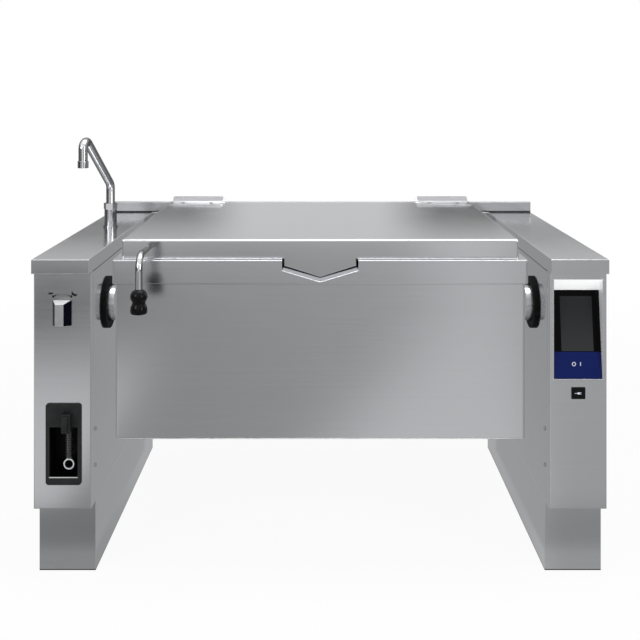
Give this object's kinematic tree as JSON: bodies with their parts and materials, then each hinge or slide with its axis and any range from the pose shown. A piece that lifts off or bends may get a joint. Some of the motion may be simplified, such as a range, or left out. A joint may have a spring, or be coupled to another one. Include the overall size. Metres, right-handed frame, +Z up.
{
  "type": "tilting bratt pan",
  "caption": "Floor-standing tilting bratt pan: lidded rectangular pan with pouring notch, hung on trunnions between service pillars with tap, spray and display.",
  "frame": {"origin": "on the floor, at the centre of the whole outline", "axes": "+X to the right along the pan's width, +Y to the back, +Z up"},
  "size_m": [1.6, 1.111, 1.215],
  "materials": {
    "brushed_steel": "fine horizontal brushing, satin",
    "well_steel": "ground, lightly worn cooking surface",
    "bright_steel": "polished, with a soft glint",
    "plate_steel": "plain mill finish",
    "gear_steel": "hobbed teeth, oiled",
    "black_rubber": "moulded, matt",
    "black_plastic": "fine moulded grain",
    "silver_knob": "satin silver lacquer",
    "display_glass": "dark printed cover glass, glossy",
    "circuit_board": "green laminate",
    "motor_paint": "stoved grey paint",
    "element_mica": "mica sheet",
    "mineral_wool": "pressed fibre slab",
    "brass": "turned, plain"
  },
  "bodies": {
    "cabinet": {"cable_gland": "black_plastic", "casing_screws": "bright_steel", "control_board": "circuit_board", "display_frame": "brushed_steel", "display_glass": "display_glass", "dock_lip": "bright_steel", "gearmotor": "motor_paint", "hose_guide": "bright_steel", "knob_bezel": "black_plastic", "left_casing": "brushed_steel", "left_fascia": "brushed_steel", "left_plinth": "brushed_steel", "left_trunnion_bearing": "plate_steel", "left_worktop": "brushed_steel", "pan_stops": "black_rubber", "rear_crossbeam": "plate_steel", "rear_panel": "brushed_steel", "rear_upstand": "brushed_steel", "right_casing": "brushed_steel", "right_fascia": "brushed_steel", "right_plinth": "brushed_steel", "right_trunnion_bearing": "plate_steel", "right_worktop": "brushed_steel", "service_socket": "black_plastic", "spray_dock": "black_plastic", "tap_column": "bright_steel", "tilt_switch": "black_plastic", "trunnion_seals": "black_rubber", "water_inlet": "brass", "water_valve": "brass"},
    "pan": {"heating_elements": "element_mica", "heating_plate": "plate_steel", "hinge_blocks": "brushed_steel", "hinge_pins": "bright_steel", "left_trunnion": "bright_steel", "pan_base_cover": "brushed_steel", "pan_cladding": "brushed_steel", "pan_frame": "plate_steel", "pan_insulation": "mineral_wool", "pan_rim": "brushed_steel", "pan_well": "well_steel", "right_trunnion": "bright_steel", "temperature_sensor": "brushed_steel", "tilt_gear": "gear_steel"},
    "lid": {"hinge_screws": "bright_steel", "left_hinge_cover": "brushed_steel", "lid_handle_bar": "bright_steel", "lid_handle_grip": "black_plastic", "lid_liner": "brushed_steel", "lid_shell": "brushed_steel", "right_hinge_cover": "brushed_steel"},
    "pinion": {"drive_pinion": "gear_steel"},
    "knob": {"tilt_knob": "silver_knob"},
    "spout": {"tap_spout": "bright_steel", "tap_aerator": "bright_steel"},
    "spray_gun": {"spray_head": "black_plastic", "spray_grip": "black_plastic"},
    "trigger": {"spray_trigger": "black_plastic"},
    "socket_flap": {"socket_cover": "black_plastic"}
  },
  "joints": [
    {"name": "pan_tilt", "type": "hinge", "parent": "cabinet", "child": "pan", "pos_m": [0, -0.2045, 0.729], "axis": [1, 0, 0], "range_deg": [0, 90]},
    {"name": "lid_hinge", "type": "hinge", "parent": "pan", "child": "lid", "pos_m": [0, 0.5025, 0.946], "axis": [-1, 0, 0], "range_deg": [0, 75]},
    {"name": "pinion_spin", "type": "hinge", "parent": "cabinet", "child": "pinion", "pos_m": [0.693, -0.2045, 0.579], "axis": [1, 0, 0], "range_deg": [-365, 5]},
    {"name": "knob_turn", "type": "hinge", "parent": "cabinet", "child": "knob", "pos_m": [-0.72, -0.424, 0.747], "axis": [0, -1, 0], "range_deg": [-30, 30], "stiffness_Nm_per_rad": 0.4},
    {"name": "spout_swivel", "type": "hinge", "parent": "cabinet", "child": "spout", "pos_m": [-0.714, 0.1615, 0.95], "axis": [0, 0, 1], "range_deg": [-30, 110]},
    {"name": "spray_pull", "type": "slide", "parent": "cabinet", "child": "spray_gun", "axis": [0, -1, 0], "range_m": [0, 0.06]},
    {"name": "trigger_squeeze", "type": "hinge", "parent": "spray_gun", "child": "trigger", "pos_m": [-0.705, -0.4509, 0.464], "axis": [1, 0, 0], "range_deg": [0, 5], "stiffness_Nm_per_rad": 0.5},
    {"name": "flap_hinge", "type": "hinge", "parent": "cabinet", "child": "socket_flap", "pos_m": [0.7205, -0.4224, 0.5375], "axis": [-1, 0, 0], "range_deg": [0, 100]}
  ],
  "couplings": [
    {"joint": "pinion_spin", "follows": "pan_tilt", "ratio": -4}
  ]
}
